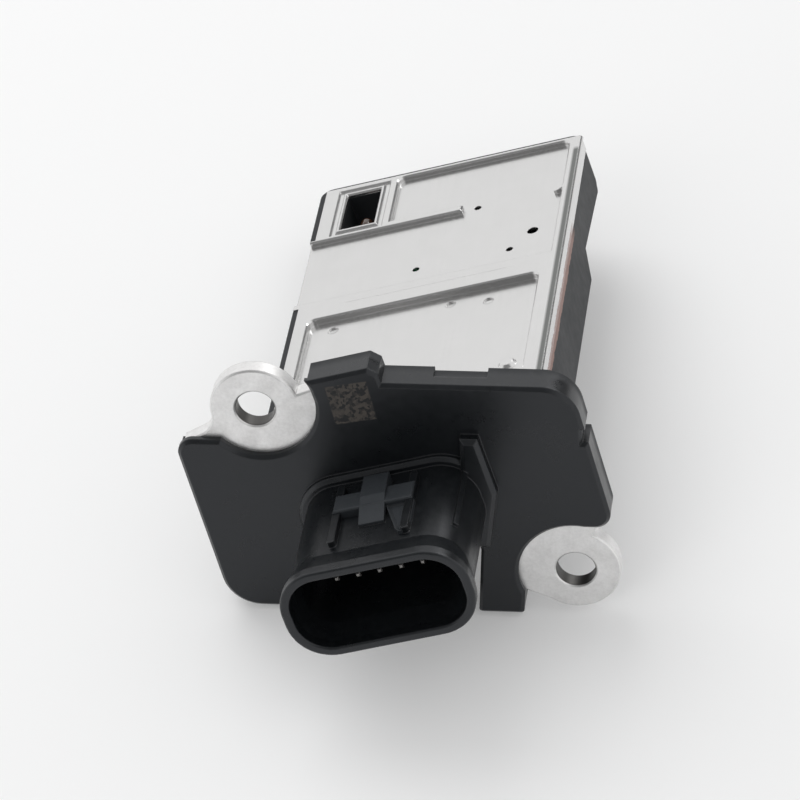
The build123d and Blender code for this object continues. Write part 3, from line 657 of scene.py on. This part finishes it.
def makeLatchBridge():
    shape = bmesh.new()
    for form in latchBridge.values():
        corners = [shape.verts.new(onConnector(w, y, form["low"])) for w, y in form["outline"]]
        grown = bmesh.ops.extrude_face_region(shape, geom=[shape.faces.new(corners)])["geom"]
        top = next(item for item in grown if isinstance(item, bmesh.types.BMFace))
        bmesh.ops.translate(shape, verts=top.verts, vec=outward * (form["high"] - form["low"]) * mm)
        rim = list(top.edges)
        if "rim" in form:
            bmesh.ops.inset_region(shape, faces=[top], thickness=form["rim"] * mm, use_even_offset=True)
            bmesh.ops.translate(shape, verts=top.verts, vec=outward * -form["sunk"] * mm)
        bmesh.ops.bevel(
            shape, geom=rim, offset=form["edge"] * mm, affect="EDGES", segments=2, profile=0.5, material=-1,
        )
    bmesh.ops.recalc_face_normals(shape, faces=shape.faces)
    bridge = placePiece("latchBridge", shape, blackMoulding("latchMoulding", **bridgeLook))
    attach(bridge, "root")


makeLatchBridge()
print("latch bridge made")


# Floor, light and camera

floorPlan = {
    "front": Vector((0, 3.0 * mm, -16.2 * mm)),    # the back lower edge of the flange rests here
    "rear": Vector((0, 63.4 * mm, -8.4 * mm)),     # and the probe's tip here
    "half": 3.0, "tone": 0.70, "uneven": 0.01, "warmth": -0.003, "cloud": (8.0, 0.3),
    "roughness": 0.7, "gloss": 0.2,
    "lift": 0.21,      # the light it gives off, for the camera, mirrors and glass alone
}


def looked(tree):
    # 1 where the camera, a mirror or glass looks, and 0 for the light that falls on the object
    rays = addNode(tree, "ShaderNodeLightPath").outputs
    seen = calc(tree, "MAXIMUM", rays["Is Camera Ray"], rays["Is Glossy Ray"])
    return calc(tree, "MAXIMUM", seen, rays["Is Transmission Ray"]), rays["Is Glossy Ray"]


def paleFloor():
    part = floorPlan
    material, tree, sockets, place = startMaterial("paleFloor")
    tone = cloudTone(tree, place, *part["cloud"])
    dark, light = grey(part["tone"] - part["uneven"], part["warmth"]), grey(part["tone"] + part["uneven"])
    feed(tree, sockets, {
        "Base Color": blendColour(tree, tone, dark, light),
        "Roughness": part["roughness"], "Specular IOR Level": part["gloss"],
        "Emission Color": grey(1.0), "Emission Strength": times(tree, looked(tree)[0], part["lift"]),
    })
    shader = next(node for node in tree.nodes if node.type == "BSDF_PRINCIPLED")
    output = next(node for node in tree.nodes if node.type == "OUTPUT_MATERIAL")
    behind = addNode(tree, "ShaderNodeNewGeometry").outputs["Backfacing"]      # clear when seen from below
    clear = tree.nodes.new("ShaderNodeBsdfTransparent").outputs[0]
    both = addNode(tree, "ShaderNodeMixShader", {0: behind, 1: shader.outputs[0], 2: clear}).outputs[0]
    feed(tree, output.inputs, {"Surface": both})
    return material


def makeFloor():
    slope = floorPlan["rear"] - floorPlan["front"]
    turn = Vector((0, 1, 0)).rotation_difference(slope).to_matrix().to_4x4()
    shape = bmesh.new()
    bmesh.ops.create_grid(shape, x_segments=2, y_segments=2, size=floorPlan["half"])
    bmesh.ops.transform(shape, matrix=Matrix.Translation(floorPlan["front"]) @ turn, verts=shape.verts)
    floor = placePiece("floor", shape, paleFloor())


lamps = {       # two light the object, and the sheen is there for gloss alone
    "overhead": {"place": (-0.38, 0.34, 0.72), "size": 0.7, "power": 3.2, "gloss": False},
    "frontFill": {"place": (-0.45, -0.75, 0.45), "size": 0.6, "power": 1.3, "gloss": False},
    "sheen": {"place": (0.36, 0.62, 0.70), "size": 0.36, "power": 1.6, "gloss": True},
}
aim = Vector((-2 * mm, 25 * mm, -3 * mm))


def makeLamps():
    for name, lamp in lamps.items():
        light = bpy.data.lights.new(name, "AREA")
        light.shape = "DISK"
        light.size = lamp["size"]
        light.energy = lamp["power"]
        holder = bpy.data.objects.new(name, light)
        holder.location = Vector(lamp["place"])
        holder.rotation_euler = (aim - holder.location).to_track_quat("-Z", "Y").to_euler()
        holder.visible_glossy = lamp["gloss"]
        holder.visible_diffuse = not lamp["gloss"]
        bpy.context.scene.collection.objects.link(holder)


ambient = {"seen": 1.0, "given": 0.66}
flags = {       # dark cards that only mirrors see: where they stand, how wide they are and how dark
    "front": {"toward": (-0.28, -0.74, 0.60), "inner": 0.86, "outer": 0.62, "tone": 0.27},
    "rightBack": {"toward": (0.46, 0.80, 0.39), "inner": 0.975, "outer": 0.935, "tone": 0.12},
}


def makeWorld():
    # white where it is seen or mirrored, and a plain soft light on the object
    world = bpy.data.worlds.new("studio")
    world.use_nodes = True
    tree = world.node_tree
    tree.nodes.clear()
    seen, mirrored = looked(tree)
    strength = remap(tree, seen, 0.0, 1.0, ambient["given"], ambient["seen"])
    toward = addNode(tree, "ShaderNodeTexCoord").outputs["Generated"]
    for flag in flags.values():
        middle = Vector(flag["toward"]).normalized()
        near = vectorCalc(tree, "DOT_PRODUCT", toward, middle)["Value"]
        card = remap(tree, near, flag["outer"], flag["inner"], kind="SMOOTHSTEP")
        shade = times(tree, times(tree, card, mirrored), 1 - flag["tone"])
        strength = times(tree, strength, calc(tree, "SUBTRACT", 1.0, shade))
    sky = addNode(tree, "ShaderNodeBackground", {"Color": grey(1.0), "Strength": strength})
    addNode(tree, "ShaderNodeOutputWorld", {"Surface": sky.outputs[0]})
    bpy.context.scene.world = world


view = {
    "place": Vector((66.84, -463.44, 324.36)) * mm,
    "forward": Vector((-0.1211, 0.8233, -0.5546)).normalized(),
    "roll": radians(-3.094), "lens": 227.0, "nearest": 0.01,
}


def makeCamera():
    side = view["forward"].cross(Vector((0, 0, 1))).normalized()
    top = side.cross(view["forward"])
    right = side * cos(view["roll"]) + top * sin(view["roll"])
    up = top * cos(view["roll"]) - side * sin(view["roll"])
    turn = Matrix((right, up, -view["forward"])).transposed().to_4x4()
    camera = bpy.data.cameras.new("camera")
    camera.lens = view["lens"]
    camera.clip_start = view["nearest"]
    holder = bpy.data.objects.new("camera", camera)
    holder.matrix_world = Matrix.Translation(view["place"]) @ turn
    bpy.context.scene.collection.objects.link(holder)
    bpy.context.scene.camera = holder


makeFloor()
makeLamps()
makeWorld()
makeCamera()
bpy.context.scene.view_settings.view_transform = "Standard"
print("stage, light and camera set")
